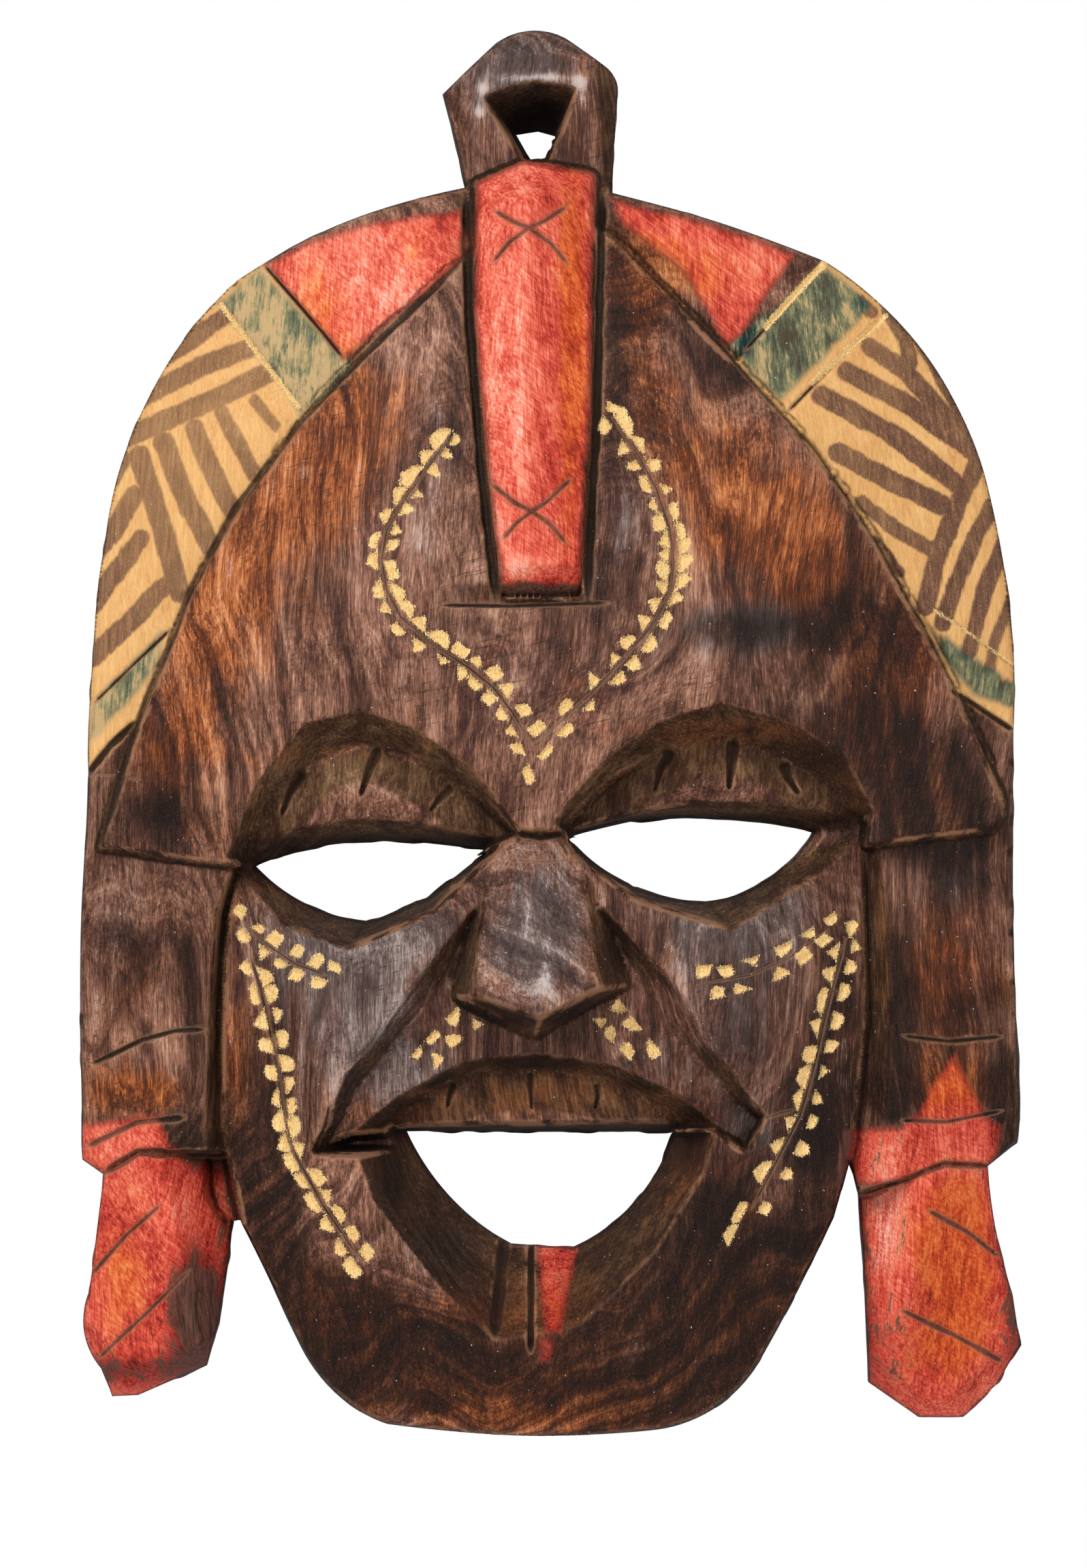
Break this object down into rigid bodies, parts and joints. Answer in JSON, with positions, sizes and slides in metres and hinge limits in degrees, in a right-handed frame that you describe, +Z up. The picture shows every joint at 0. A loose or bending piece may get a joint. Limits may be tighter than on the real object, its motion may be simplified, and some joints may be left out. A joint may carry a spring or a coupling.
{
  "type": "carved wooden wall mask",
  "caption": "Carved wooden wall mask of a stern face with a crest, painted headdress, ears with earrings, open eyes and mouth, and a pierced hanging loop.",
  "frame": {"origin": "where the nail bears in the hanging loop's hole, on the wall plane that the mask's back lies against", "axes": "+Z up, the face looks along -Y, +Y points into the wall, +X to the viewer's right"},
  "size_m": [0.2019, 0.056, 0.3004],
  "materials": {
    "dark_wood": "dark brown stain, rubbed with wax, over a pale open-grained wood",
    "raw_carved_wood": "matt olive brown stain on knife-cut wood",
    "red_painted_wood": "thin streaky red paint that the grain shows through",
    "green_painted_wood": "thin dark green stain that the grain shows through",
    "striped_wood": "bare yellow wood with brush-drawn brown stripes"
  },
  "bodies": {
    "root": {"hanging_loop": "dark_wood", "crest_bar": "red_painted_wood", "forehead": "dark_wood", "left_eyelid": "raw_carved_wood", "right_eyelid": "raw_carved_wood", "nose": "dark_wood", "muzzle": "dark_wood", "upper_lip": "raw_carved_wood", "left_cheek": "dark_wood", "right_cheek": "dark_wood", "lower_lip_strip": "red_painted_wood", "jaw": "dark_wood", "left_ear": "dark_wood", "right_ear": "dark_wood", "left_earring": "red_painted_wood", "right_earring": "red_painted_wood", "left_red_panel": "red_painted_wood", "right_red_panel": "red_painted_wood", "left_green_panel": "green_painted_wood", "right_green_panel": "green_painted_wood", "left_hem": "green_painted_wood", "right_hem": "green_painted_wood", "left_striped_panel": "striped_wood", "right_striped_panel": "striped_wood"}
  },
  "joints": []
}
